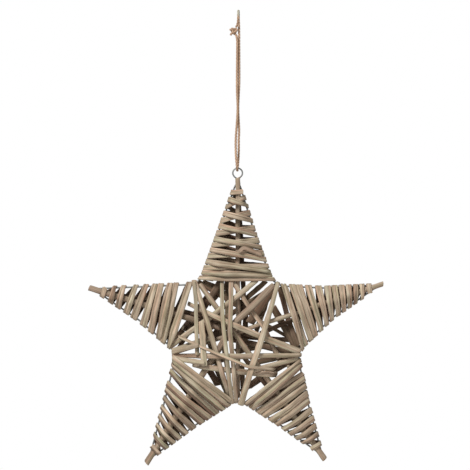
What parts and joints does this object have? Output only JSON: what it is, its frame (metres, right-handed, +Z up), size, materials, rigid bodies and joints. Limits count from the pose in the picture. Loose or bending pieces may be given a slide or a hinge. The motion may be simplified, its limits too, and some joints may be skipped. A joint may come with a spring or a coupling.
{
  "type": "wicker star decoration",
  "caption": "Five-pointed hanging star of weathered willow withies wound round a bent wire frame, with a wire eye and a loop of jute twine.",
  "frame": {"origin": "where the loop of twine rests on its hook", "axes": "+Z up, towards the hook; the star hangs in the XZ plane and its front faces -Y; +X is the right of the star as seen from the front"},
  "size_m": [0.3538, 0.0584, 0.545],
  "materials": {
    "weathered_willow": "weathered, matt, grey-beige",
    "galvanised_wire": "dull galvanised",
    "jute_twine": "twisted, slightly hairy"
  },
  "bodies": {
    "root": {"back_withy_across": "weathered_willow", "back_withy_arched": "weathered_willow", "back_withy_at_corner": "weathered_willow", "back_withy_below_centre": "weathered_willow", "back_withy_below_stick": "weathered_willow", "back_withy_beside_arm": "weathered_willow", "back_withy_crossing": "weathered_willow", "back_withy_dark": "weathered_willow", "back_withy_down": "weathered_willow", "back_withy_leaning": "weathered_willow", "back_withy_left": "weathered_willow", "back_withy_level": "weathered_willow", "back_withy_lower_right": "weathered_willow", "back_withy_olive": "weathered_willow", "back_withy_right": "weathered_willow", "back_withy_right_of_centre": "weathered_willow", "back_withy_short": "weathered_willow", "back_withy_slanting": "weathered_willow", "back_withy_thin": "weathered_willow", "back_withy_to_lower_notch": "weathered_willow", "back_withy_upright": "weathered_willow", "back_withy_wide": "weathered_willow", "cut_end_withy": "weathered_willow", "cut_end_withy_lower_right": "weathered_willow", "hooked_withy_end": "weathered_willow", "jute_hanging_twine": "jute_twine", "jute_knot": "jute_twine", "leaning_withy_left": "weathered_willow", "leaning_withy_right": "weathered_willow", "left_arm_back_stick": "weathered_willow", "left_arm_front_stick": "weathered_willow", "left_arm_winding": "weathered_willow", "level_withy_low": "weathered_willow", "level_withy_middle": "weathered_willow", "level_withy_short": "weathered_willow", "lower_left_arm_back_stick": "weathered_willow", "lower_left_arm_front_stick": "weathered_willow", "lower_left_arm_winding": "weathered_willow", "lower_right_arm_back_stick": "weathered_willow", "lower_right_arm_front_stick": "weathered_willow", "lower_right_arm_winding": "weathered_willow", "reddish_withy": "weathered_willow", "right_arm_back_stick": "weathered_willow", "right_arm_front_stick": "weathered_willow", "right_arm_winding": "weathered_willow", "short_withy_at_left_notch": "weathered_willow", "short_withy_left": "weathered_willow", "slanting_withy_low": "weathered_willow", "slanting_withy_right": "weathered_willow", "slanting_withy_upper": "weathered_willow", "thin_withy_on_top": "weathered_willow", "top_arm_back_stick": "weathered_willow", "top_arm_front_stick": "weathered_willow", "top_arm_winding": "weathered_willow", "upright_withy_left": "weathered_willow", "upright_withy_outer": "weathered_willow", "upright_withy_right": "weathered_willow", "upright_withy_thin": "weathered_willow", "wire_eye": "galvanised_wire", "wire_frame": "galvanised_wire"}
  },
  "joints": []
}
